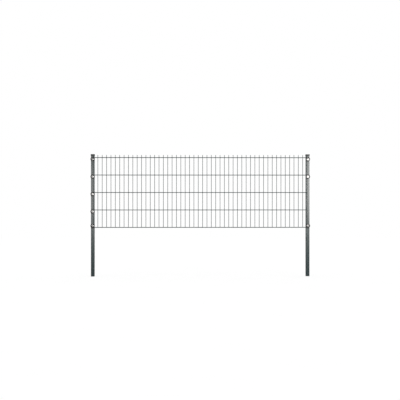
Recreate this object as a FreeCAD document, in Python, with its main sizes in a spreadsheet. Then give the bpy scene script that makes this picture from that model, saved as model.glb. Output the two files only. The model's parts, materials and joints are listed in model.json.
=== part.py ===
import FreeCAD, Part

import math
import os

import Sketcher

# One bay of twin-wire welded mesh fencing: a mesh panel clamped to the front of two box-section posts.
# X runs along the fence from the left post to the right one, the panel's side faces -Y, and Z is up.
# The origin is the middle of the left post's foot. All sizes are in millimetres.

SIZES = [
    ("post_width", "40", "face of the post that the panel bears on"),
    ("post_depth", "60", "side of the post"),
    ("post_wall", "2", "wall of the box section"),
    ("post_inner_corner", "1", "corner radius inside the box section"),
    ("post_length", "1400", "cut length, with the part that goes in the ground"),
    ("cap_wall", "2", "skirt of the plastic cap"),
    ("cap_top", "3", "top of the plastic cap"),
    ("cap_skirt", "15", "how far the cap reaches down over the post"),
    ("cap_clearance", "0.25", "play between the skirt and the post"),
    ("cap_edge", "2.2", "rounding of the cap's top edge"),
    ("upright_count", "50", "upright wires in the panel"),
    ("line_count", "5", "pairs of line wires in the panel"),
    ("mesh_width", "50", "pitch of the upright wires"),
    ("mesh_height", "200", "pitch of the line wires"),
    ("upright_dia", "6", "upright wire, across its flats"),
    ("line_dia", "8", "line wire, across its flats"),
    ("quarter_flats", "2", "flats in a quarter turn round a wire"),
    ("upright_tip", "30", "free ends of the uprights above the top line wires"),
    ("line_overhang", "5", "line wire past the end upright's centre"),
    ("top_line_drop", "37", "top line wires below the end of the post"),
    ("screw_dia", "8", "shank of the clamp screw"),
    ("screw_point", "1", "chamfer on the end of the shank"),
    ("screw_past_nut", "1.2", "end of the shank that comes out of the rivet nut"),
    ("screw_play", "0.2", "gap round the shank in washer, disc and sleeve"),
    ("head_dia", "14", "button head"),
    ("head_height", "4.4", "button head"),
    ("head_rim", "0.6", "straight edge of the button head"),
    ("socket_flats", "5", "hexagon socket across its flats"),
    ("socket_depth", "2.6", "hexagon socket"),
    ("washer_dia", "24", "stainless washer"),
    ("washer_thickness", "2", "stainless washer"),
    ("washer_edge", "0.4", "bevel of the washer's stamped edge"),
    ("disc_web", "3", "moulded clamp disc at the bottom of its dish"),
    ("disc_seat_height", "0.8", "raised seat of the washer"),
    ("disc_seat_margin", "1", "seat past the washer's edge"),
    ("disc_floor", "4", "flat bottom of the dish, from the seat to its wall"),
    ("disc_dish_slope", "2.5", "how far the dish's wall leans in"),
    ("disc_dish_depth", "4", "dish under the rim"),
    ("disc_rim", "4.5", "width of the rim round the dish"),
    ("disc_edge", "1.8", "rounding of the rim's outer edge"),
    ("disc_past_line", "6", "disc past the centre of the line wire that it holds"),
    ("sleeve_wall", "1.8", "spacer sleeve between post and disc"),
    ("sleeve_to_upright", "1", "gap from the sleeve to the end upright"),
    ("nut_wall", "1.45", "wall of the rivet nut"),
    ("nut_length", "16", "rivet nut from the post's face inwards"),
    ("nut_flange_width", "1", "flange past the nut's body"),
    ("nut_flange_thickness", "1", "flange on the post's face"),
    ("nut_collar_width", "1.5", "folded collar past the nut's body"),
    ("nut_collar_height", "4", "folded collar behind the post's wall"),
    ("nut_play", "0.05", "gap of the nut in its hole and of the shank in the nut"),
]

# What follows from the sizes, as expressions of the sheet.
POST_CORNER = "(Sizes.post_inner_corner + Sizes.post_wall)"
FRONT_FACE = "(-Sizes.post_depth / 2)"
PANEL_THICKNESS = "(2 * Sizes.line_dia + Sizes.upright_dia)"
BORE = "(Sizes.screw_dia / 2 + Sizes.screw_play)"
SLEEVE_RADIUS = f"({BORE} + Sizes.sleeve_wall)"
SCREW_TO_UPRIGHT = f"({SLEEVE_RADIUS} + Sizes.sleeve_to_upright + Sizes.upright_dia / 2)"
BAY_PITCH = f"((Sizes.upright_count - 1) * Sizes.mesh_width + 2 * {SCREW_TO_UPRIGHT})"
SEAT_RADIUS = "(Sizes.washer_dia / 2 + Sizes.disc_seat_margin)"
FLOOR_RADIUS = f"({SEAT_RADIUS} + Sizes.disc_floor)"
DISH_RADIUS = f"({FLOOR_RADIUS} + Sizes.disc_dish_slope)"
DISC_RADIUS = f"({DISH_RADIUS} + Sizes.disc_rim)"
SCREW_TO_LINE = f"({DISC_RADIUS} - Sizes.disc_past_line)"
SEAT_LEVEL = f"({PANEL_THICKNESS} + Sizes.disc_web + Sizes.disc_seat_height)"
HEAD_LEVEL = f"({SEAT_LEVEL} + Sizes.washer_thickness)"
NUT_BORE = "(Sizes.screw_dia / 2 + Sizes.nut_play)"
NUT_RADIUS = f"({NUT_BORE} + Sizes.nut_wall)"

doc = FreeCAD.newDocument("mesh_fence_bay")
sheet = doc.addObject("Spreadsheet::Sheet", "Sizes")
for cell_row, (alias, value, meaning) in enumerate(SIZES, start=1):
    sheet.set(f"A{cell_row}", alias)
    sheet.set(f"B{cell_row}", value)
    sheet.set(f"C{cell_row}", meaning)
    sheet.setAlias(f"B{cell_row}", alias)
doc.recompute()

# Rows of line wires are numbered from the top. Every row has a clamp on the left post. The right post
# has none between the second row and the bottom one.
left_rows = range(1, sheet.line_count + 1)
right_rows = sorted({1, 2, sheet.line_count})


def line_height(row):
    """Height of a row's line wires over the foot of the post."""
    return f"(Sizes.post_length - Sizes.top_line_drop - ({row} - 1) * Sizes.mesh_height)"


def screw_height(row):
    """Height of a row's clamp screw: under its line wires, or over them at the bottom row."""
    side = "+" if row == sheet.line_count else "-"
    return f"({line_height(row)} {side} {SCREW_TO_LINE})"


def new_body(label, x="0", y="0", z="0", facing_front=False):
    """An empty body at that place. One that faces the front has its own Z axis along -Y."""
    body = doc.addObject("PartDesign::Body", label)
    body.Label = label
    if facing_front:
        turn = FreeCAD.Rotation(FreeCAD.Vector(1, 0, 0), 90)
        body.Placement = FreeCAD.Placement(FreeCAD.Vector(), turn)
    for axis, place in (("x", x), ("y", y), ("z", z)):
        body.setExpression(f"Placement.Base.{axis}", place)
    return body


def origin_feature(body, role):
    return next(f for f in body.Origin.OriginFeatures if f.Role == role)


def new_sketch(body, plane, name, offset="0"):
    """A sketch on one of the body's own planes, moved along the plane's normal."""
    sketch = body.newObject("Sketcher::SketchObject", name)
    sketch.AttachmentSupport = [(origin_feature(body, plane), "")]
    sketch.MapMode = "FlatFace"
    sketch.setExpression("AttachmentOffset.Base.z", offset)
    return sketch


def value_of(expression):
    """What an expression of the sheet's sizes gives now."""
    return float(sheet.evalExpression(expression.replace("Sizes.", "")))


def bind(sketch, constraint, size):
    """Adds a constraint that has a size and ties it to an expression."""
    index = sketch.addConstraint(constraint)
    sketch.setExpression(f"Constraints[{index}]", size)


def add_outline(sketch, corners):
    """A closed outline through corners, each a pair of expressions measured from the sketch's origin."""
    points = [FreeCAD.Vector(value_of(u), value_of(v), 0) for u, v in corners]
    count = len(points)
    for i, point in enumerate(points):
        sketch.addGeometry(Part.LineSegment(point, points[(i + 1) % count]), False)
    for i, (u, v) in enumerate(corners):
        sketch.addConstraint(Sketcher.Constraint("Coincident", i, 2, (i + 1) % count, 1))
        for kind, size, along in (("DistanceX", u, points[i].x), ("DistanceY", v, points[i].y)):
            if size == "0":
                axis = -2 if kind == "DistanceX" else -1
                sketch.addConstraint(Sketcher.Constraint("PointOnObject", i, 1, axis))
            else:
                bind(sketch, Sketcher.Constraint(kind, -1, 1, i, 1, along), size)


def add_rounded_rectangle(sketch, width, depth, radius):
    """A rectangle with round corners, centred on the sketch's origin."""
    r = value_of(radius)
    reach_x = value_of(width) / 2 - r
    reach_y = value_of(depth) / 2 - r
    first = sketch.GeometryCount
    for quarter, (sx, sy) in enumerate(((1, 1), (-1, 1), (-1, -1), (1, -1))):
        centre = FreeCAD.Vector(sx * reach_x, sy * reach_y, 0)
        circle = Part.Circle(centre, FreeCAD.Vector(0, 0, 1), r)
        start = quarter * math.pi / 2
        sketch.addGeometry(Part.ArcOfCircle(circle, start, start + math.pi / 2), False)
    for quarter in range(4):
        arc = first + quarter
        next_arc = first + (quarter + 1) % 4
        side = Part.LineSegment(sketch.getPoint(arc, 2), sketch.getPoint(next_arc, 1))
        line = sketch.addGeometry(side, False)
        sketch.addConstraint(Sketcher.Constraint("Tangent", arc, 2, line, 1))
        sketch.addConstraint(Sketcher.Constraint("Tangent", line, 2, next_arc, 1))
        lies = "Vertical" if quarter % 2 else "Horizontal"
        sketch.addConstraint(Sketcher.Constraint(lies, line))
        if quarter:
            sketch.addConstraint(Sketcher.Constraint("Equal", first, arc))
    sketch.addConstraint(Sketcher.Constraint("Symmetric", first, 3, first + 2, 3, -1, 1))
    bind(sketch, Sketcher.Constraint("Radius", first, r), radius)
    across = Sketcher.Constraint("DistanceX", first + 2, 3, first, 3, 2 * reach_x)
    bind(sketch, across, f"{width} - 2 * {radius}")
    along = Sketcher.Constraint("DistanceY", first + 2, 3, first, 3, 2 * reach_y)
    bind(sketch, along, f"{depth} - 2 * {radius}")


def add_circle(sketch, height, radius):
    """A circle on the sketch's upright axis."""
    centre = FreeCAD.Vector(0, value_of(height), 0)
    circle = Part.Circle(centre, FreeCAD.Vector(0, 0, 1), value_of(radius))
    index = sketch.addGeometry(circle, False)
    sketch.addConstraint(Sketcher.Constraint("PointOnObject", index, 3, -2))
    bind(sketch, Sketcher.Constraint("DistanceY", -1, 1, index, 3, centre.y), height)
    bind(sketch, Sketcher.Constraint("Radius", index, circle.Radius), radius)


def add_hexagon(sketch, flats):
    """A hexagon of that size across its flats, with two corners on the sketch's level axis."""
    radius = value_of(flats) / 2 / math.cos(math.pi / 6)
    corners = [
        FreeCAD.Vector(radius * math.cos(i * math.pi / 3), radius * math.sin(i * math.pi / 3), 0)
        for i in range(6)
    ]
    for i in range(6):
        sketch.addGeometry(Part.LineSegment(corners[i], corners[(i + 1) % 6]), False)
    circle = Part.Circle(FreeCAD.Vector(), FreeCAD.Vector(0, 0, 1), radius)
    guide = sketch.addGeometry(circle, True)
    sketch.addConstraint(Sketcher.Constraint("Coincident", guide, 3, -1, 1))
    for i in range(6):
        sketch.addConstraint(Sketcher.Constraint("Coincident", i, 2, (i + 1) % 6, 1))
        sketch.addConstraint(Sketcher.Constraint("PointOnObject", i, 1, guide))
        if i:
            sketch.addConstraint(Sketcher.Constraint("Equal", 0, i))
    sketch.addConstraint(Sketcher.Constraint("PointOnObject", 0, 1, -1))
    bind(sketch, Sketcher.Constraint("Diameter", guide, 2 * radius), f"{flats} / cos(30 deg)")


def feature(body, kind, name, sketch, length):
    """A pad or pocket of a sketch, with its length tied to an expression."""
    made = body.newObject(f"PartDesign::{kind}", name)
    made.Profile = sketch
    made.setExpression("Length", length)
    doc.recompute()
    return made


def revolved(body, name, corners):
    """A turned solid about the body's Z axis, from its half outline as radius and level pairs."""
    sketch = new_sketch(body, "XZ_Plane", f"{name}_outline")
    add_outline(sketch, corners)
    made = body.newObject("PartDesign::Revolution", name)
    made.Profile = sketch
    made.ReferenceAxis = (sketch, ["V_Axis"])
    made.Angle = 360
    doc.recompute()
    return made


def dressed(body, kind, name, base, size, chosen):
    """A fillet or chamfer on the edges of a feature that a test picks."""
    edges = [f"Edge{i}" for i, edge in enumerate(base.Shape.Edges, start=1) if chosen(edge)]
    made = body.newObject(f"PartDesign::{kind}", name)
    made.Base = (base, edges)
    made.setExpression("Radius" if kind == "Fillet" else "Size", size)
    doc.recompute()
    return made


def ring_edge(radius, level):
    """A test that picks the circle of that radius at that level along the body's Z axis."""
    r = value_of(radius)
    z = value_of(level)

    def chosen(edge):
        curve = edge.Curve
        return (
            isinstance(curve, Part.Circle)
            and math.isclose(curve.Radius, r, abs_tol=1e-4)
            and math.isclose(curve.Center.z, z, abs_tol=1e-4)
        )

    return chosen


def lying_at(level):
    """A test that picks the edges that lie at that level."""
    z = value_of(level)

    def chosen(edge):
        return all(math.isclose(point.z, z, abs_tol=1e-4) for point in edge.discretize(3))

    return chosen


def make_post(label, x, rows):
    """Box-section steel post, open at its foot, with a hole in its front wall for each rivet nut."""
    body = new_body(label, x)
    section = new_sketch(body, "XY_Plane", "section")
    add_rounded_rectangle(section, "Sizes.post_width", "Sizes.post_depth", POST_CORNER)
    inner_width = "(Sizes.post_width - 2 * Sizes.post_wall)"
    inner_depth = "(Sizes.post_depth - 2 * Sizes.post_wall)"
    add_rounded_rectangle(section, inner_width, inner_depth, "Sizes.post_inner_corner")
    feature(body, "Pad", "tube", section, "Sizes.post_length")
    holes = new_sketch(body, "XZ_Plane", "nut_holes", "Sizes.post_depth / 2")
    for row in rows:
        add_circle(holes, screw_height(row), f"({NUT_RADIUS} + Sizes.nut_play)")
    feature(body, "Pocket", "holes", holes, "Sizes.post_wall")
    return body


def make_cap(label, x):
    """Plastic cap that slips over the post and stops on its end."""
    body = new_body(label, x, z="Sizes.post_length - Sizes.cap_skirt")
    inner_width = "(Sizes.post_width + 2 * Sizes.cap_clearance)"
    inner_depth = "(Sizes.post_depth + 2 * Sizes.cap_clearance)"
    inner_corner = f"({POST_CORNER} + Sizes.cap_clearance)"
    height = "(Sizes.cap_skirt + Sizes.cap_top)"
    outside = new_sketch(body, "XY_Plane", "outside")
    add_rounded_rectangle(
        outside,
        f"({inner_width} + 2 * Sizes.cap_wall)",
        f"({inner_depth} + 2 * Sizes.cap_wall)",
        f"({inner_corner} + Sizes.cap_wall)",
    )
    block = feature(body, "Pad", "block", outside, height)
    dressed(body, "Fillet", "top_edge", block, "Sizes.cap_edge", lying_at(height))
    inside = new_sketch(body, "XY_Plane", "inside")
    add_rounded_rectangle(inside, inner_width, inner_depth, inner_corner)
    hollow = feature(body, "Pocket", "hollow", inside, "Sizes.cap_skirt")
    hollow.Reversed = True
    return body


def make_panel(label):
    """Upright wires between pairs of line wires, fused into one where the flats of the wires meet."""
    body = new_body(label, SCREW_TO_UPRIGHT, FRONT_FACE, line_height("Sizes.line_count"))
    half_flat = 45 / sheet.quarter_flats
    flats_to_axes = FreeCAD.Rotation(FreeCAD.Vector(0, 0, 1), half_flat)
    lying = FreeCAD.Rotation(FreeCAD.Vector(0, 1, 0), 90).multiply(flats_to_axes)

    def wire(name, rotation, diameter, length, **place):
        made = body.newObject("PartDesign::AdditivePrism", name)
        made.Placement = FreeCAD.Placement(FreeCAD.Vector(), rotation)
        made.setExpression("Polygon", "4 * Sizes.quarter_flats")
        made.setExpression("Circumradius", f"{diameter} / 2 / cos(45 deg / Sizes.quarter_flats)")
        made.setExpression("Height", length)
        for axis, expression in place.items():
            made.setExpression(f"Placement.Base.{axis}", expression)
        doc.recompute()
        return made

    def repeat(name, wires, axis, count, pitch):
        made = body.newObject("PartDesign::LinearPattern", name)
        made.Originals = wires
        made.Direction = (origin_feature(body, axis), [""])
        made.setExpression("Occurrences", count)
        made.setExpression("Length", f"({count} - 1) * {pitch}")
        body.Tip = made
        doc.recompute()

    upright = wire(
        "upright",
        flats_to_axes,
        "Sizes.upright_dia",
        "(Sizes.line_count - 1) * Sizes.mesh_height + Sizes.line_dia / 2 + Sizes.upright_tip",
        y=f"-{PANEL_THICKNESS} / 2",
        z="-Sizes.line_dia / 2",
    )
    repeat("uprights", [upright], "X_Axis", "Sizes.upright_count", "Sizes.mesh_width")
    span = "(Sizes.upright_count - 1) * Sizes.mesh_width + 2 * Sizes.line_overhang"
    depths = {
        "rear_line": "-Sizes.line_dia / 2",
        "front_line": f"-{PANEL_THICKNESS} + Sizes.line_dia / 2",
    }
    lines = [
        wire(name, lying, "Sizes.line_dia", span, x="-Sizes.line_overhang", y=depth)
        for name, depth in depths.items()
    ]
    repeat("lines", lines, "Z_Axis", "Sizes.line_count", "Sizes.mesh_height")
    return body


def make_rivet_nut(body):
    """Steel blind rivet nut: flange on the post's face, collar folded out behind the wall."""
    back = "(-Sizes.nut_length)"
    flange = f"({NUT_RADIUS} + Sizes.nut_flange_width)"
    collar = f"({NUT_RADIUS} + Sizes.nut_collar_width)"
    wall = "(-Sizes.post_wall)"
    revolved(
        body,
        "nut",
        [
            (NUT_BORE, back),
            (NUT_RADIUS, back),
            (NUT_RADIUS, f"({wall} - Sizes.nut_collar_height)"),
            (collar, f"({wall} - Sizes.nut_collar_height / 2)"),
            (collar, wall),
            (NUT_RADIUS, wall),
            (NUT_RADIUS, "0"),
            (flange, "0"),
            (flange, "Sizes.nut_flange_thickness"),
            (NUT_BORE, "Sizes.nut_flange_thickness"),
        ],
    )


def make_spacer_sleeve(body):
    """Plastic spacer that stands on the rivet nut's flange and ends level with the panel's front."""
    revolved(
        body,
        "sleeve",
        [
            (BORE, "Sizes.nut_flange_thickness"),
            (SLEEVE_RADIUS, "Sizes.nut_flange_thickness"),
            (SLEEVE_RADIUS, PANEL_THICKNESS),
            (BORE, PANEL_THICKNESS),
        ],
    )


def make_clamp_disc(body):
    """Moulded disc that presses on the end of a front line wire: rim, dish and raised washer seat."""
    floor = f"({PANEL_THICKNESS} + Sizes.disc_web)"
    rim = f"({floor} + Sizes.disc_dish_depth)"
    disc = revolved(
        body,
        "disc",
        [
            (BORE, PANEL_THICKNESS),
            (DISC_RADIUS, PANEL_THICKNESS),
            (DISC_RADIUS, rim),
            (DISH_RADIUS, rim),
            (FLOOR_RADIUS, floor),
            (SEAT_RADIUS, floor),
            (SEAT_RADIUS, SEAT_LEVEL),
            (BORE, SEAT_LEVEL),
        ],
    )
    dressed(body, "Fillet", "rim_edge", disc, "Sizes.disc_edge", ring_edge(DISC_RADIUS, rim))


def make_washer(body):
    """Stamped stainless washer on the disc's seat."""
    radius = "(Sizes.washer_dia / 2)"
    washer = revolved(
        body,
        "washer",
        [(BORE, SEAT_LEVEL), (radius, SEAT_LEVEL), (radius, HEAD_LEVEL), (BORE, HEAD_LEVEL)],
    )
    outer_edge = ring_edge(radius, HEAD_LEVEL)
    dressed(body, "Chamfer", "stamped_edge", washer, "Sizes.washer_edge", outer_edge)


def make_clamp_screw(body):
    """Stainless button-head screw with a hexagon socket, through sleeve and nut into the post."""
    shank = "(Sizes.screw_dia / 2)"
    head = "(Sizes.head_dia / 2)"
    top = f"({HEAD_LEVEL} + Sizes.head_height)"
    end = "(-Sizes.nut_length - Sizes.screw_past_nut)"
    screw = revolved(
        body,
        "screw",
        [
            ("0", end),
            (f"({shank} - Sizes.screw_point)", end),
            (shank, f"({end} + Sizes.screw_point)"),
            (shank, HEAD_LEVEL),
            (head, HEAD_LEVEL),
            (head, top),
            ("0", top),
        ],
    )
    dome = "Sizes.head_height - Sizes.head_rim"
    dressed(body, "Fillet", "dome", screw, dome, ring_edge(head, top))
    socket = new_sketch(body, "XY_Plane", "socket_outline", top)
    add_hexagon(socket, "Sizes.socket_flats")
    feature(body, "Pocket", "socket", socket, "Sizes.socket_depth")


# The parts of a clamp, from the post outwards.
CLAMP_PARTS = {
    "rivet_nut": make_rivet_nut,
    "spacer_sleeve": make_spacer_sleeve,
    "clamp_disc": make_clamp_disc,
    "washer": make_washer,
    "clamp_screw": make_clamp_screw,
}


def make_clamps(side, x, rows):
    """The clamps of one post. Each part's own Z axis is the screw's, with its zero on the post's face."""
    clamps = []
    for row in rows:
        for name, make in CLAMP_PARTS.items():
            body = new_body(f"{side}_{name}_{row}", x, FRONT_FACE, screw_height(row), True)
            make(body)
            clamps.append(body)
    return clamps


bodies = [
    make_post("left_post", "0", left_rows),
    make_post("right_post", BAY_PITCH, right_rows),
    make_cap("left_post_cap", "0"),
    make_cap("right_post_cap", BAY_PITCH),
    make_panel("mesh_panel"),
]
bodies += make_clamps("left", "0", left_rows)
bodies += make_clamps("right", BAY_PITCH, right_rows)

doc.recompute()
for item in doc.Objects:
    if {"Invalid", "Error"} & set(item.State):
        raise RuntimeError(f"{item.Label} could not be rebuilt: {item.State}")
for body in bodies:
    shape = body.Shape
    if shape.isNull() or not shape.isValid() or len(shape.Solids) != 1:
        raise RuntimeError(f"{body.Label} is not one sound solid")

os.makedirs("parts", exist_ok=True)
for body in bodies:
    body.Shape.exportStep(f"parts/{body.Label}.step")
    print(f"{body.Label}: {body.Shape.Volume:.1f} mm3")
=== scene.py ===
import json
import math

import bmesh
import bpy
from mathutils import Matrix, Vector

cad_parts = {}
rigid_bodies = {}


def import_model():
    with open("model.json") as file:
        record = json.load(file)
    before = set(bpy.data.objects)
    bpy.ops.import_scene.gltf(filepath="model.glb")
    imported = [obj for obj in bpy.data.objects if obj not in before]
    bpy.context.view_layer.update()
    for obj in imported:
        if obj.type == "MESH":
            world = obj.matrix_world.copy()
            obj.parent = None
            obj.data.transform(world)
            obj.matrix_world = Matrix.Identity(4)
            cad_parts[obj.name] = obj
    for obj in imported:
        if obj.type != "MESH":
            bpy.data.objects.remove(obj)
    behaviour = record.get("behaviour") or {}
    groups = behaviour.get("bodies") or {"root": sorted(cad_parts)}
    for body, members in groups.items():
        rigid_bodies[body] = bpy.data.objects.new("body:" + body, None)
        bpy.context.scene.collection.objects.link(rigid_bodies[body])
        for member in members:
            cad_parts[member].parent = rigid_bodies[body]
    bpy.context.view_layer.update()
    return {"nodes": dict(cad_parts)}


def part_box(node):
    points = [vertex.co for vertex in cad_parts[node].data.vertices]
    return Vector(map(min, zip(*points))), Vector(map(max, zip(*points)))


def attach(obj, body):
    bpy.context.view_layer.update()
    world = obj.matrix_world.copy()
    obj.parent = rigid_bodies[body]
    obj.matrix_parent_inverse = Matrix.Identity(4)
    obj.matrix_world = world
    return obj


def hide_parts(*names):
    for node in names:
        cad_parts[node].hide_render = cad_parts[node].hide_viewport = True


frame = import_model()
nodes = frame["nodes"]
scene = bpy.context.scene


# The view: the fence stands side on to the camera, which is 14.5 m away at about two thirds of the
# fence's height and turned by little more than a degree, so that the right post shows more of its side.
# All sizes are in metres.
mat_low, mat_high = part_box("mesh_panel")
look_at = (1.230, (mat_low.y + mat_high.y) / 2, 0.877)
turned = math.radians(1.3)
distance = 14.5
width_in_view = 4.5885
sees_as_far_as = 100

camera = bpy.data.objects.new("camera", bpy.data.cameras.new("camera"))
camera.location = (
    look_at[0] - distance * math.sin(turned),
    look_at[1] - distance * math.cos(turned),
    look_at[2],
)
camera.rotation_euler = (math.radians(90), 0, -turned)
camera.data.lens = camera.data.sensor_width * distance / width_in_view
camera.data.clip_end = sees_as_far_as
scene.collection.objects.link(camera)
scene.camera = camera
scene.view_settings.view_transform = "Standard"


# The two posts: cold-formed steel box section of 60 by 40 mm and 2 mm wall, galvanised and then
# powder-coated in a dark grey with some blue-green. The coat has the fine ripple of baked powder over
# the slight waves of the section. The sawn foot, which goes into the ground, has no coat on its cut.
coat_colour = (0.028, 0.054, 0.057)
coat_shade = (0.024, 0.047, 0.049)
coat_roughness = (0.36, 0.46)
patch_size = 0.03
wave_size, wave_height = 0.16, 0.0004
ripple_size, ripple_height = 0.0016, 0.00002
gloss_roughness = 0.28
cut_level = 0.0003
cut_colour = (0.46, 0.47, 0.48)
cut_shade = (0.30, 0.31, 0.32)
saw_mark_size, saw_mark_stretch = 0.0012, (1, 0.05, 1)


def feed(tree, socket, value):
    """Links an output to a socket, or sets a plain value on it."""
    if isinstance(value, bpy.types.NodeSocket):
        tree.links.new(value, socket)
    else:
        socket.default_value = value


def add(tree, kind, settings=None, **inputs):
    """Adds a node; each input is given by its label and is either linked or set."""
    node = tree.nodes.new(kind)
    for name, value in (settings or {}).items():
        setattr(node, name, value)
    for label, value in inputs.items():
        feed(tree, node.inputs[label.replace("_", " ")], value)
    return node


def calc(tree, operation, first, second=0.0):
    """One sum."""
    node = add(tree, "ShaderNodeMath", {"operation": operation})
    feed(tree, node.inputs[0], first)
    feed(tree, node.inputs[1], second)
    return node.outputs[0]


def new_finish(name):
    """A finish with one shader; what is the same all over is set on the shader's own sockets."""
    finish = bpy.data.materials.new(name)
    finish.use_nodes = True
    return finish, finish.node_tree, finish.node_tree.nodes["Principled BSDF"]


def grain(tree, size, stretch=(1, 1, 1), detail=2.0):
    """Noise with features of about the given size, longer where stretch is below 1."""
    place = add(tree, "ShaderNodeTexCoord")
    drawn = add(tree, "ShaderNodeMapping", Vector=place.outputs["Object"], Scale=stretch)
    noise = add(tree, "ShaderNodeTexNoise", Vector=drawn.outputs["Vector"], Scale=1 / size, Detail=detail)
    return noise.outputs["Fac"]


def between(tree, share, low, high):
    """Spreads the middle of a noise's range over low to high."""
    return add(
        tree, "ShaderNodeMapRange", Value=share, From_Min=0.3, From_Max=0.7, To_Min=low, To_Max=high
    ).outputs["Result"]


def blend(tree, share, first, second):
    """Mixes two colours; each is a plain colour or the output of a node."""
    mix = tree.nodes.new("ShaderNodeMix")
    mix.data_type = "RGBA"
    feed(tree, mix.inputs[0], share)
    for socket, colour in ((mix.inputs[6], first), (mix.inputs[7], second)):
        feed(tree, socket, (*colour, 1) if isinstance(colour, tuple) else colour)
    return mix.outputs[2]


def relief(tree, *layers):
    """Stacks bumps, each a noise and its height, and returns the normal."""
    normal = None
    for height, rise in layers:
        bump = add(tree, "ShaderNodeBump", Height=height, Strength=1.0, Distance=rise)
        if normal is not None:
            tree.links.new(normal, bump.inputs["Normal"])
        normal = bump.outputs["Normal"]
    return normal


def powder_coat(name, shine, gloss):
    """The coat of the posts and the mat."""
    coat, tree, shader = new_finish(name)
    waves = grain(tree, wave_size)
    ripple = grain(tree, ripple_size, detail=1.0)
    shade = blend(tree, between(tree, waves, 0, 1), coat_shade, coat_colour)
    tree.links.new(shade, shader.inputs["Base Color"])
    tree.links.new(between(tree, grain(tree, patch_size), *coat_roughness), shader.inputs["Roughness"])
    tree.links.new(relief(tree, (waves, wave_height), (ripple, ripple_height)), shader.inputs["Normal"])
    shader.inputs["Specular IOR Level"].default_value = shine
    shader.inputs["Coat Weight"].default_value = gloss
    shader.inputs["Coat Roughness"].default_value = gloss_roughness
    return coat, tree, shader


post_coat, tree, shader = powder_coat("powder coat of the posts", shine=0.5, gloss=1.0)
place = add(tree, "ShaderNodeTexCoord").outputs["Object"]
height = add(tree, "ShaderNodeSeparateXYZ", Vector=place).outputs["Z"]
sawn = calc(tree, "LESS_THAN", height, cut_level)
coated = shader.inputs["Base Color"].links[0].from_socket
bare = blend(tree, grain(tree, saw_mark_size, saw_mark_stretch), cut_shade, cut_colour)
tree.links.new(blend(tree, sawn, coated, bare), shader.inputs["Base Color"])
tree.links.new(sawn, shader.inputs["Metallic"])

for post in ("left_post", "right_post"):
    nodes[post].data.materials.clear()
    nodes[post].data.materials.append(post_coat)


# The two post caps: slip-over caps of grey plastic, injection moulded, with a rounded top edge, a
# slightly crowned top and the small pit where the plastic was let in. They stay on by friction.
cap_shades = ((0.030, 0.034, 0.036), (0.036, 0.041, 0.043))
cap_roughness = (0.44, 0.54)
cap_cloud_size, cap_patch_size = 0.02, 0.012
spark_size, spark_height = 0.0007, 0.00003
cap_play = 0.0001
cap_corner, cap_bore_corner = 0.0040, 0.0031
cap_edge, cap_edge_steps = 0.0022, 6
cap_mouth_inside, cap_mouth_outside = 0.0003, 0.0004
cap_crown, cap_crown_corner = 0.0004, 0.0018
cap_crown_rings = (0.8, 0.5, 0.25)
pit_radius, pit_floor, pit_depth = 0.0022, 0.0018, 0.0003
short_of_round = 0.00001


def mottled(tree, size, shades):
    """Two shades of a colour in clouds of the given size."""
    return blend(tree, between(tree, grain(tree, size), 0, 1), *shades)


def ring(half_x, half_y, corner, centre, z, steps=6):
    """One ring of a rounded rectangle, seen from above anticlockwise."""
    points = []
    for quarter, (sx, sy) in enumerate(((1, 1), (-1, 1), (-1, -1), (1, -1))):
        for step in range(steps + 1):
            angle = quarter * math.pi / 2 + step * math.pi / 2 / steps
            points.append((
                centre[0] + sx * (half_x - corner) + corner * math.cos(angle),
                centre[1] + sy * (half_y - corner) + corner * math.sin(angle),
                z,
            ))
    return points


def shaded(name, work, sharp):
    """Makes a mesh of the faces, turned outwards and shaded smooth but at the sharp edges."""
    bmesh.ops.recalc_face_normals(work, faces=work.faces)
    for face in work.faces:
        face.smooth = True
    for edge in work.edges:
        edge.smooth = edge.calc_face_angle(0) < sharp
    mesh = bpy.data.meshes.new(name)
    work.to_mesh(mesh)
    work.free()
    return mesh


def loft(name, rings, sharp=math.radians(35)):
    """A closed skin through rings of equal length."""
    work = bmesh.new()
    loops = [[work.verts.new(point) for point in points] for points in rings]
    for lower, upper in zip(loops, loops[1:]):
        for i in range(len(lower)):
            j = (i + 1) % len(lower)
            work.faces.new((lower[i], lower[j], upper[j], upper[i]))
    work.faces.new(list(reversed(loops[0])))
    work.faces.new(loops[-1])
    return shaded(name, work, sharp)


cap_plastic, tree, shader = new_finish("grained plastic of the caps")
tree.links.new(mottled(tree, cap_cloud_size, cap_shades), shader.inputs["Base Color"])
tree.links.new(between(tree, grain(tree, cap_patch_size), *cap_roughness), shader.inputs["Roughness"])
tree.links.new(relief(tree, (grain(tree, spark_size, detail=1.0), spark_height)), shader.inputs["Normal"])

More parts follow.
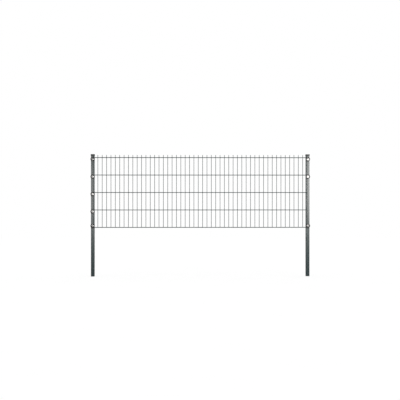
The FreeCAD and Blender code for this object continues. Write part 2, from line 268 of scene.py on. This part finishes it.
for side in ("left", "right"):
    low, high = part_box(side + "_post_cap")
    post_low, post_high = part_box(side + "_post")
    middle = ((low.x + high.x) / 2, (low.y + high.y) / 2)
    out_x, out_y = (high.x - low.x) / 2, (high.y - low.y) / 2
    in_x = (post_high.x - post_low.x) / 2 + cap_play
    in_y = (post_high.y - post_low.y) / 2 + cap_play
    top = high.z - cap_crown
    inside, outside = cap_mouth_inside, cap_mouth_outside
    rings = [
        ring(in_x, in_y, cap_bore_corner, middle, post_high.z),
        ring(in_x, in_y, cap_bore_corner, middle, low.z + inside),
        ring(in_x + inside, in_y + inside, cap_bore_corner + inside, middle, low.z),
        ring(out_x - outside, out_y - outside, cap_corner - outside, middle, low.z),
        ring(out_x, out_y, cap_corner, middle, low.z + outside),
    ]
    for step in range(cap_edge_steps + 1):
        angle = step * math.pi / 2 / cap_edge_steps
        inset = cap_edge * (1 - math.cos(angle))
        level = top - cap_edge + cap_edge * math.sin(angle)
        rings.append(ring(out_x - inset, out_y - inset, cap_corner - inset, middle, level))
    for share in cap_crown_rings:
        level = top + cap_crown * (1 - share * share)
        across, along = share * (out_x - cap_edge), share * (out_y - cap_edge)
        rings.append(ring(across, along, cap_crown_corner, middle, level))
    for radius, level in ((pit_radius, high.z), (pit_floor, high.z - pit_depth)):
        rings.append(ring(radius, radius, radius - short_of_round, middle, level))
    cap = bpy.data.objects.new(side + "_moulded_cap", loft(side + "_moulded_cap", rings))
    scene.collection.objects.link(cap)
    cap.data.materials.append(cap_plastic)
    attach(cap, "root")
    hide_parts(side + "_post_cap")


# The rivet nuts: zinc-plated steel nuts with a thin flange, pressed into the drilled holes of the
# posts' front walls. Only the flange's rim shows, between post and sleeve.
zinc_shades = ((0.46, 0.47, 0.49), (0.60, 0.61, 0.62))
zinc_roughness = (0.32, 0.48)
zinc_cloud_size, zinc_patch_size = 0.004, 0.0015

nut_zinc, tree, shader = new_finish("zinc plating of the nuts")
tree.links.new(mottled(tree, zinc_cloud_size, zinc_shades), shader.inputs["Base Color"])
tree.links.new(between(tree, grain(tree, zinc_patch_size), *zinc_roughness), shader.inputs["Roughness"])
shader.inputs["Metallic"].default_value = 1.0
for name in nodes:
    if "rivet_nut" in name:
        nodes[name].data.materials.clear()
        nodes[name].data.materials.append(nut_zinc)


# The mat: 50 upright wires of 6 mm between five pairs of line wires of 8 mm. The wires are cut to
# length, laid crosswise in the welding machine, and pressed and welded at every crossing, which
# squeezes out a small bead on both sides. The finished mat is galvanised and powder-coated.
upright_size, upright_sides = 0.006, 20
upright_pitch, upright_count = 0.050, 50
line_size, line_sides = 0.008, 24
line_pitch, line_count = 0.200, 5
top_stub = 0.030
line_low = mat_high.z - top_stub - (line_count - 1) * line_pitch
line_overhang = (mat_high.x - mat_low.x - (upright_count - 1) * upright_pitch) / 2

# As shares of the wire: how long and how wide a cut end is, and how far a bead comes out.
cut_length, cut_width = 0.07, 0.84
bead_across, bead_out, bead_along = 0.60, 0.24, 0.42
least_squeezed, most_squeezed = (0.82, 0.85, 0.82), (1.12, 1.10, 1.12)


def new_tree(name, **inputs):
    """A geometry tree with named inputs, each given with its kind."""
    tree = bpy.data.node_groups.new(name, "GeometryNodeTree")
    for label, kind in inputs.items():
        tree.interface.new_socket(
            name=label.replace("_", " "), in_out="INPUT", socket_type="NodeSocket" + kind
        )
    tree.interface.new_socket(name="Geometry", in_out="OUTPUT", socket_type="NodeSocketGeometry")
    return tree, tree.nodes.new("NodeGroupInput").outputs, tree.nodes.new("NodeGroupOutput").inputs


def vector(tree, x=0.0, y=0.0, z=0.0):
    """A vector of three numbers or outputs."""
    return add(tree, "ShaderNodeCombineXYZ", X=x, Y=y, Z=z).outputs[0]


def at_stations(tree, *values):
    """One value for each station along a wire."""
    switch = add(tree, "GeometryNodeIndexSwitch", {"data_type": "FLOAT"})
    while len(switch.index_switch_items) < len(values):
        switch.index_switch_items.new()
    feed(tree, switch.inputs["Index"], add(tree, "GeometryNodeInputIndex").outputs[0])
    for station, value in enumerate(values):
        feed(tree, switch.inputs[station + 1], value)
    return switch.outputs[0]


wire_tree, given, result = new_tree("cut wire", Diameter="Float", Length="Float", Sides="Int")
cut = calc(wire_tree, "MULTIPLY", given["Diameter"], cut_length)
far_cut = calc(wire_tree, "SUBTRACT", given["Length"], cut)
along = at_stations(wire_tree, 0.0, cut, far_cut, given["Length"])
girth = at_stations(wire_tree, cut_width, 1.0, 1.0, cut_width)
stations = add(wire_tree, "GeometryNodeMeshLine", Count=4)
spaced = add(
    wire_tree, "GeometryNodeSetPosition",
    Geometry=stations.outputs[0], Position=vector(wire_tree, z=along),
)
line = add(wire_tree, "GeometryNodeMeshToCurve", Mesh=spaced.outputs[0])
rounded = add(wire_tree, "GeometryNodeSetCurveRadius", Curve=line.outputs[0], Radius=girth)
section = add(
    wire_tree, "GeometryNodeCurvePrimitiveCircle",
    Resolution=given["Sides"], Radius=calc(wire_tree, "DIVIDE", given["Diameter"], 2.0),
)
drawn_wire = add(
    wire_tree, "GeometryNodeCurveToMesh",
    Curve=rounded.outputs[0], Profile_Curve=section.outputs[0], Fill_Caps=True,
)
wire_tree.links.new(drawn_wire.outputs[0], result["Geometry"])

mat_tree, given, result = new_tree(
    "welded mat",
    Corner="Vector",
    Upright_Size="Float",
    Upright_Pitch="Float",
    Upright_Count="Int",
    Upright_Length="Float",
    Line_Size="Float",
    Line_Pitch="Float",
    Line_Count="Int",
    Line_Length="Float",
    Line_Overhang="Float",
    First_Line="Float",
    Seed="Int",
    Finish="Material",
)
half_upright = calc(mat_tree, "DIVIDE", given["Upright Size"], 2.0)
half_line = calc(mat_tree, "DIVIDE", given["Line Size"], 2.0)
behind_uprights = calc(mat_tree, "ADD", given["Line Size"], given["Upright Size"])
to_upright = calc(mat_tree, "ADD", given["Line Size"], half_upright)
to_rear_line = calc(mat_tree, "ADD", behind_uprights, half_line)

upright = add(
    mat_tree, "GeometryNodeGroup", {"node_tree": wire_tree},
    Diameter=given["Upright Size"], Length=given["Upright Length"], Sides=upright_sides,
)
feet = add(
    mat_tree, "GeometryNodeMeshLine",
    Count=given["Upright Count"],
    Start_Location=vector(mat_tree, given["Line Overhang"], to_upright),
    Offset=vector(mat_tree, given["Upright Pitch"]),
)
uprights = add(
    mat_tree, "GeometryNodeInstanceOnPoints", Points=feet.outputs[0], Instance=upright.outputs[0],
)

line_wire = add(
    mat_tree, "GeometryNodeGroup", {"node_tree": wire_tree},
    Diameter=given["Line Size"], Length=given["Line Length"], Sides=line_sides,
)
laid = [uprights.outputs[0]]
for depth in (half_line, to_rear_line):
    starts = add(
        mat_tree, "GeometryNodeMeshLine",
        Count=given["Line Count"],
        Start_Location=vector(mat_tree, 0.0, depth, given["First Line"]),
        Offset=vector(mat_tree, z=given["Line Pitch"]),
    )
    lines = add(
        mat_tree, "GeometryNodeInstanceOnPoints",
        Points=starts.outputs[0], Instance=line_wire.outputs[0], Rotation=(0, math.pi / 2, 0),
    )
    laid.append(lines.outputs[0])

meshes_across = calc(mat_tree, "SUBTRACT", given["Upright Count"], 1)
meshes_up = calc(mat_tree, "SUBTRACT", given["Line Count"], 1)
crossings = add(
    mat_tree, "GeometryNodeMeshGrid",
    Size_X=calc(mat_tree, "MULTIPLY", given["Upright Pitch"], meshes_across),
    Size_Y=calc(mat_tree, "MULTIPLY", given["Line Pitch"], meshes_up),
    Vertices_X=given["Upright Count"],
    Vertices_Y=given["Line Count"],
)
half_mesh_x = calc(mat_tree, "DIVIDE", given["Upright Pitch"], 2.0)
half_mesh_z = calc(mat_tree, "DIVIDE", given["Line Pitch"], 2.0)
grid_middle_x = calc(
    mat_tree, "ADD", given["Line Overhang"], calc(mat_tree, "MULTIPLY", half_mesh_x, meshes_across)
)
grid_middle_z = calc(
    mat_tree, "ADD", given["First Line"], calc(mat_tree, "MULTIPLY", half_mesh_z, meshes_up)
)
bead = add(mat_tree, "GeometryNodeMeshUVSphere", Segments=10, Rings=5, Radius=1.0)
pressed_bead = add(
    mat_tree, "GeometryNodeTransform", Geometry=bead.outputs[0],
    Scale=vector(
        mat_tree,
        calc(mat_tree, "MULTIPLY", given["Upright Size"], bead_across),
        calc(mat_tree, "MULTIPLY", given["Upright Size"], bead_out),
        calc(mat_tree, "MULTIPLY", given["Line Size"], bead_along),
    ),
)
for layer, depth in enumerate((given["Line Size"], behind_uprights)):
    upended = add(
        mat_tree, "GeometryNodeTransform", Geometry=crossings.outputs[0],
        Translation=vector(mat_tree, grid_middle_x, depth, grid_middle_z), Rotation=(math.pi / 2, 0, 0),
    )
    squeezed = add(
        mat_tree, "FunctionNodeRandomValue", {"data_type": "FLOAT_VECTOR"},
        Seed=calc(mat_tree, "ADD", given["Seed"], layer),
    )
    squeezed.inputs[0].default_value = least_squeezed
    squeezed.inputs[1].default_value = most_squeezed
    welds = add(
        mat_tree, "GeometryNodeInstanceOnPoints",
        Points=upended.outputs[0], Instance=pressed_bead.outputs[0], Scale=squeezed.outputs[0],
    )
    laid.append(welds.outputs[0])
joined = add(mat_tree, "GeometryNodeJoinGeometry")
for pieces in laid:
    mat_tree.links.new(pieces, joined.inputs[0])
placed = add(mat_tree, "GeometryNodeTransform", Geometry=joined.outputs[0], Translation=given["Corner"])
real = add(mat_tree, "GeometryNodeRealizeInstances", Geometry=placed.outputs[0])
soft = add(mat_tree, "GeometryNodeSetShadeSmooth", Geometry=real.outputs[0])
finished = add(mat_tree, "GeometryNodeSetMaterial", Geometry=soft.outputs[0], Material=given["Finish"])
mat_tree.links.new(finished.outputs[0], result["Geometry"])


def make(name, tree, start, values):
    """Runs a tree on a mesh and keeps what comes out as a plain mesh."""
    piece = bpy.data.objects.new(name, start)
    scene.collection.objects.link(piece)
    modifier = piece.modifiers.new(tree.name, "NODES")
    modifier.node_group = tree
    for item in tree.interface.items_tree:
        if item.item_type == "SOCKET" and item.in_out == "INPUT" and item.name in values:
            modifier[item.identifier] = values[item.name]
    mesh = bpy.data.meshes.new_from_object(piece.evaluated_get(bpy.context.evaluated_depsgraph_get()))
    piece.modifiers.remove(modifier)
    piece.data = mesh
    mesh.name = name
    return piece


mat = make("welded_mat", mat_tree, bpy.data.meshes.new("start"), {
    "Corner": (mat_low.x, mat_low.y, mat_low.z),
    "Upright Size": upright_size,
    "Upright Pitch": upright_pitch,
    "Upright Count": upright_count,
    "Upright Length": mat_high.z - mat_low.z,
    "Line Size": line_size,
    "Line Pitch": line_pitch,
    "Line Count": line_count,
    "Line Length": mat_high.x - mat_low.x,
    "Line Overhang": line_overhang,
    "First Line": line_low - mat_low.z,
    "Seed": 7,
    "Finish": powder_coat("powder coat of the mat", shine=0.4, gloss=0.25)[0],
})
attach(mat, "root")
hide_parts("mesh_panel")


# The spacer sleeves: short tubes of black plastic between the nuts' flanges and the discs. They keep
# the screw from squeezing the clamp further than the mat is thick.
black_shades = ((0.013, 0.014, 0.015), (0.019, 0.020, 0.021))
black_roughness = (0.34, 0.48)
black_cloud_size, black_patch_size = 0.006, 0.004
mould_grain_size, mould_grain_height = 0.0006, 0.00002
black_gloss, black_gloss_roughness = 0.3, 0.28

black_plastic, tree, shader = new_finish("black plastic of the clamps")
tree.links.new(mottled(tree, black_cloud_size, black_shades), shader.inputs["Base Color"])
tree.links.new(between(tree, grain(tree, black_patch_size), *black_roughness), shader.inputs["Roughness"])
mould_grain = grain(tree, mould_grain_size, detail=1.0)
tree.links.new(relief(tree, (mould_grain, mould_grain_height)), shader.inputs["Normal"])
shader.inputs["Coat Weight"].default_value = black_gloss
shader.inputs["Coat Roughness"].default_value = black_gloss_roughness
for name in nodes:
    if "spacer_sleeve" in name:
        nodes[name].data.materials.clear()
        nodes[name].data.materials.append(black_plastic)


# The clamp discs: moulded discs of the same plastic. One screw presses each on the ends of the line
# wires. The face is dished towards the screw, and the back is flat.
disc_names = sorted(name for name in nodes if "clamp_disc" in name)
disc_low, disc_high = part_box(disc_names[0])
disc_radius = (disc_high.x - disc_low.x) / 2
disc_back = disc_high.y
disc_rim = disc_low.y
back_round, rim_round = 0.0006, 0.0018
lip_radius, lip_round = 0.0205, 0.0008
dish_radius, dish_round, dish_level = 0.0172, 0.0016, -0.0552
seat_foot, seat_radius, seat_level = 0.0135, 0.0130, -0.0558
bore_radius = 0.0042


def arc(centre_r, centre_y, radius, start, end, steps):
    """Points of a rounded edge, as distance from the axis and place along it."""
    turn = [math.radians(start + (end - start) * step / steps) for step in range(steps + 1)]
    return [(centre_r + radius * math.cos(a), centre_y + radius * math.sin(a)) for a in turn]


def turned_part(name, outline, sides=64, sharp=math.radians(30)):
    """A closed outline of (distance from the axis, y) spun about the Y axis."""
    work = bmesh.new()
    loops = []
    for step in range(sides):
        a = step * 2 * math.pi / sides
        loops.append([work.verts.new((r * math.cos(a), y, r * math.sin(a))) for r, y in outline])
    for step in range(sides):
        here, there = loops[step], loops[(step + 1) % sides]
        for i in range(len(outline)):
            j = (i + 1) % len(outline)
            work.faces.new((here[i], here[j], there[j], there[i]))
    return shaded(name, work, sharp)


disc_outline = [(bore_radius, disc_back)]
disc_outline += arc(disc_radius - back_round, disc_back - back_round, back_round, 90, 0, 3)
disc_outline += arc(disc_radius - rim_round, disc_rim + rim_round, rim_round, 0, -90, 6)
disc_outline += arc(lip_radius, disc_rim + lip_round, lip_round, -90, -135, 3)
disc_outline += arc(dish_radius, dish_level - dish_round, dish_round, 45, 90, 3)
disc_outline += [(seat_foot, dish_level), (seat_radius, seat_level), (bore_radius, seat_level)]

fix_tree, given, result = new_tree(
    "fixed at every clamp", Geometry="Geometry", Part="Object", Seed="Int", Finish="Material"
)
part = add(fix_tree, "GeometryNodeObjectInfo", Object=given["Part"])
turn = add(fix_tree, "FunctionNodeRandomValue", {"data_type": "FLOAT"}, Seed=given["Seed"])
turn.inputs[2].default_value = 0.0
turn.inputs[3].default_value = 2 * math.pi
fixed = add(
    fix_tree, "GeometryNodeInstanceOnPoints",
    Points=given["Geometry"], Instance=part.outputs["Geometry"],
    Rotation=vector(fix_tree, y=turn.outputs[1]),
)
real = add(fix_tree, "GeometryNodeRealizeInstances", Geometry=fixed.outputs[0])
finished = add(fix_tree, "GeometryNodeSetMaterial", Geometry=real.outputs[0], Material=given["Finish"])
fix_tree.links.new(finished.outputs[0], result["Geometry"])


def fix_at_clamps(name, mesh, kind, seed, finish):
    """Sets one part at every clamp, in place of the nodes of its kind."""
    sample = bpy.data.objects.new("part", mesh)
    scene.collection.objects.link(sample)
    replaced = sorted(node for node in nodes if kind in node)
    boxes = [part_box(node) for node in replaced]
    clamps = bpy.data.meshes.new("clamps")
    clamps.from_pydata([((low.x + high.x) / 2, 0, (low.z + high.z) / 2) for low, high in boxes], [], [])
    piece = make(name, fix_tree, clamps, {"Part": sample, "Seed": seed, "Finish": finish})
    bpy.data.objects.remove(sample)
    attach(piece, "root")
    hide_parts(*replaced)


fix_at_clamps("clamp_discs", turned_part("disc", disc_outline), "clamp_disc", 3, black_plastic)


# The washers: stamped stainless washers of 24 mm in the discs' dishes, tumbled, with one edge rolled
# over by the punch.
steel_shades = ((0.32, 0.33, 0.33), (0.39, 0.40, 0.40))
steel_roughness = (0.16, 0.28)
steel_cloud_size = 0.003
scratch_size, scratch_stretch, scratch_height = 0.0009, (1, 1, 0.25), 0.000006

steel, tree, shader = new_finish("stainless steel")
scratches = grain(tree, scratch_size, scratch_stretch)
tree.links.new(mottled(tree, steel_cloud_size, steel_shades), shader.inputs["Base Color"])
tree.links.new(between(tree, scratches, *steel_roughness), shader.inputs["Roughness"])
tree.links.new(relief(tree, (scratches, scratch_height)), shader.inputs["Normal"])
shader.inputs["Metallic"].default_value = 1.0

washer_low, washer_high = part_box(disc_names[0].replace("clamp_disc", "washer"))
washer_radius = (washer_high.x - washer_low.x) / 2
washer_bevel, washer_roll, washer_bore_round = 0.0002, 0.0006, 0.0003

washer_outline = [
    (bore_radius, washer_high.y),
    (washer_radius - washer_bevel, washer_high.y),
    (washer_radius, washer_high.y - washer_bevel),
]
washer_outline += arc(washer_radius - washer_roll, washer_low.y + washer_roll, washer_roll, 0, -90, 4)
washer_outline += arc(
    bore_radius + washer_bore_round, washer_low.y + washer_bore_round, washer_bore_round, -90, -180, 3
)
fix_at_clamps("washers", turned_part("washer", washer_outline), "washer", 5, steel)


# The screws: stainless M8 button heads with a hexagon socket, cold-headed, so the dome is bright and
# smooth. Each goes through washer, disc and sleeve into its rivet nut.
screw_low, screw_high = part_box(disc_names[0].replace("clamp_disc", "clamp_screw"))
head_radius = (screw_high.x - screw_low.x) / 2
head_level, head_top = washer_low.y, screw_low.y
head_under_edge, head_rim, head_flat, head_steps = 0.0003, 0.0009, 0.0038, 8
shank_radius, shank_end, plain_shank = 0.0040, screw_high.y, 0.007
thread_pitch, thread_root, thread_flank, thread_reach = 0.00125, 0.0034, 0.0003, 0.008
point_radius, point_length = 0.0030, 0.0002
socket_size, socket_depth = 0.005, 0.0026
socket_mouth, socket_bevel = 0.0032, 0.0003
socket_tip, socket_tip_depth = 0.0012, 0.0006


def screw_mesh(name, sides=48):
    """Shank, dome and socket in rings about the Y axis; the socket's rings are hexagons."""
    circle = [(1.0, 2 * math.pi * i / sides) for i in range(sides)]
    hexagon = [(1 / math.cos(a % (math.pi / 3) - math.pi / 6), a) for _, a in circle]
    rings = [
        (circle, point_radius, shank_end),
        (circle, thread_root, shank_end - point_length),
    ]
    thread = shank_end
    while thread > head_level + thread_reach:
        rings.append((circle, thread_root, thread - thread_flank))
        rings.append((circle, shank_radius, thread - thread_flank - thread_pitch / 2))
        thread -= thread_pitch
    rings += [
        (circle, shank_radius, head_level + plain_shank),
        (circle, shank_radius, head_level + head_under_edge),
        (circle, shank_radius + head_under_edge, head_level),
        (circle, head_radius - head_under_edge, head_level),
        (circle, head_radius, head_level - head_under_edge),
        (circle, head_radius, head_level - head_rim),
    ]
    for step in range(1, head_steps + 1):
        a = math.radians(90 * step / head_steps)
        rings.append((
            circle,
            head_flat + (head_radius - head_flat) * math.cos(a),
            head_level - head_rim + (head_top - head_level + head_rim) * math.sin(a),
        ))
    rings += [
        (circle, socket_mouth, head_top),
        (hexagon, socket_size / 2, head_top + socket_bevel),
        (hexagon, socket_size / 2, head_top + socket_depth),
        (circle, socket_tip, head_top + socket_depth + socket_tip_depth),
    ]
    return loft(name, [
        [(r * k * math.cos(a), y, r * k * math.sin(a)) for k, a in shape] for shape, r, y in rings
    ])


fix_at_clamps("clamp_screws", screw_mesh("screw"), "clamp_screw", 11, steel)


# The floor: plain pale studio paper. To the camera it is as white as the surround and no whiter, so
# that the posts keep their edges, and it keeps the soft shadow at their feet.
reach = 14
paper_shades = ((0.50, 0.50, 0.50), (0.53, 0.53, 0.53))
paper_cloud_size = 0.5
paper_glow = 0.80
white = (1, 1, 1, 1)


def show(tree, unseen, seen, output):
    """Ends a tree that gives light in one way and is seen or mirrored in another."""
    path = add(tree, "ShaderNodeLightPath").outputs
    looked_at = calc(tree, "MAXIMUM", path["Is Camera Ray"], path["Is Glossy Ray"])
    looked_at = calc(tree, "MAXIMUM", looked_at, path["Is Transmission Ray"])
    either = add(tree, "ShaderNodeMixShader", Fac=looked_at)
    tree.links.new(unseen.outputs[0], either.inputs[1])
    tree.links.new(seen.outputs[0], either.inputs[2])
    tree.links.new(either.outputs[0], add(tree, output).inputs["Surface"])


floor_mesh = bpy.data.meshes.new("floor")
floor_corners = [(look_at[0] + x * reach, y * reach, 0) for x, y in ((-1, -1), (1, -1), (1, 1), (-1, 1))]
floor_mesh.from_pydata(floor_corners, [], [(0, 1, 2, 3)])
floor = bpy.data.objects.new("floor", floor_mesh)
scene.collection.objects.link(floor)

paper = bpy.data.materials.new("studio paper")
paper.use_nodes = True
tree = paper.node_tree
tree.nodes.clear()
matt = add(tree, "ShaderNodeBsdfDiffuse", Color=mottled(tree, paper_cloud_size, paper_shades))
glow = add(tree, "ShaderNodeEmission", Color=white, Strength=paper_glow)
glowing = add(tree, "ShaderNodeAddShader")
tree.links.new(matt.outputs[0], glowing.inputs[0])
tree.links.new(glow.outputs[0], glowing.inputs[1])
show(tree, matt, glowing, "ShaderNodeOutputMaterial")
floor_mesh.materials.append(paper)


# The surround: an even white room. It is full white where it is seen or mirrored, and gives the
# object a plain, softer light.
room_light = 0.40

world = bpy.data.worlds.new("studio")
scene.world = world
world.use_nodes = True
tree = world.node_tree
tree.nodes.clear()
lit = add(tree, "ShaderNodeBackground", Color=white, Strength=room_light)
wall = add(tree, "ShaderNodeBackground", Color=white, Strength=1.0)
show(tree, lit, wall, "ShaderNodeOutputWorld")


# The lamps: one wide soft box in front, at the height of the mat and towards the right, with its left
# end lower, so that the right post is the brighter one, and one behind that lights the fence's back.
# Both light the fence and not the floor. Black boards keep the white room out of the fence's shine.
lit_by_lamps = bpy.data.collections.new("lit by the lamps")
for piece in scene.objects:
    if piece.type == "MESH" and piece != floor:
        lit_by_lamps.objects.link(piece)


def set_up_lamp(name, width, height, power, place, turned):
    """A flat lamp that lights the fence alone and stays out of the picture."""
    light = bpy.data.lights.new(name, "AREA")
    light.shape = "RECTANGLE"
    light.size, light.size_y = width, height
    light.energy = power
    lamp = bpy.data.objects.new(name, light)
    lamp.location = place
    lamp.rotation_euler = [math.radians(angle) for angle in turned]
    lamp.visible_camera = False
    lamp.light_linking.receiver_collection = lit_by_lamps
    scene.collection.objects.link(lamp)
    return lamp


soft_box = set_up_lamp(
    "soft box", width=3.86, height=0.84, power=61, place=(1.77, -2.2, 1.04), turned=(90, -4, 0)
)
soft_box.data.color = (1.0, 0.95, 0.92)
fill_lamp = set_up_lamp(
    "fill lamp", width=5.0, height=1.6, power=60, place=(1.23, 6.0, 1.0), turned=(-90, 0, 0)
)
fill_lamp.data.spread = math.radians(50)
fill_lamp.visible_glossy = False

paint_shades = ((0.01, 0.01, 0.01), (0.02, 0.02, 0.02))
paint_cloud_size = 0.05
board_paint, tree, shader = new_finish("black board")
tree.links.new(mottled(tree, paint_cloud_size, paint_shades), shader.inputs["Base Color"])
shader.inputs["Roughness"].default_value = 0.9
shader.inputs["Specular IOR Level"].default_value = 0.0

board_foot = 0.003
left_end, right_end = -3.0, 5.5
front, back = -2.25, 1.5
for name, (left, right), (near, far), (foot, head) in (
    ("board on the floor", (left_end, right_end), (back, front), (board_foot, board_foot)),
    ("low front board", (left_end, right_end), (front, front), (board_foot, 0.61)),
    ("left board", (left_end, -0.08), (front, front), (0.61, 2.0)),
    ("board behind", (left_end, right_end), (back, back), (board_foot, 2.6)),
    ("low left board", (-0.9, -0.9), (back, front), (board_foot, 0.64)),
    ("low right board", (3.35, 3.35), (back, front), (board_foot, 0.64)),
    ("board above", (left_end, right_end), (0.0, front), (2.3, 2.3)),
):
    if foot == head:
        corners = [(left, far, foot), (right, far, foot), (right, near, foot), (left, near, foot)]
    else:
        corners = [(left, near, foot), (right, far, foot), (right, far, head), (left, near, head)]
    board = bpy.data.objects.new(name, bpy.data.meshes.new(name))
    board.data.from_pydata(corners, [], [(0, 1, 2, 3)])
    board.data.materials.append(board_paint)
    scene.collection.objects.link(board)
    board.visible_camera = False
    board.visible_diffuse = False
    board.visible_shadow = False
